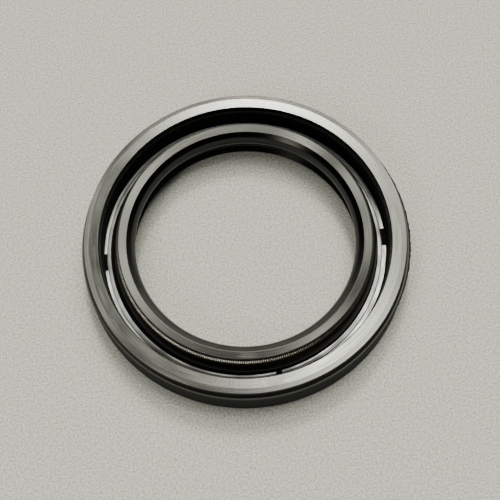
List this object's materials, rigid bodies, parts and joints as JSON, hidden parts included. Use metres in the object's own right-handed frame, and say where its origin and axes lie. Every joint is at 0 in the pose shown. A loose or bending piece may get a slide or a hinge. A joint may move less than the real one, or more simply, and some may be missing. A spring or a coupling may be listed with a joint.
{
  "type": "radial shaft seal",
  "caption": "Rubber-covered rotary shaft seal with a garter-sprung sealing lip, a dust lip and an L-section steel case whose flange shows as a bare ring",
  "frame": {"origin": "on the seal's axis, in the plane of the flat back face it lies on", "axes": "+Z is the seal's axis, from the back face up to the spring side; +X is to the right and +Y away from the viewer"},
  "size_m": [0.0727, 0.0722, 0.01],
  "materials": {
    "nitrile_rubber": "satin, moulded",
    "case_steel": "satin, dark grey phosphate and bonding coat",
    "spring_wire": "bright drawn wire"
  },
  "bodies": {
    "root": {"rubber_body": "nitrile_rubber", "steel_case": "case_steel", "garter_spring": "spring_wire"}
  },
  "joints": []
}
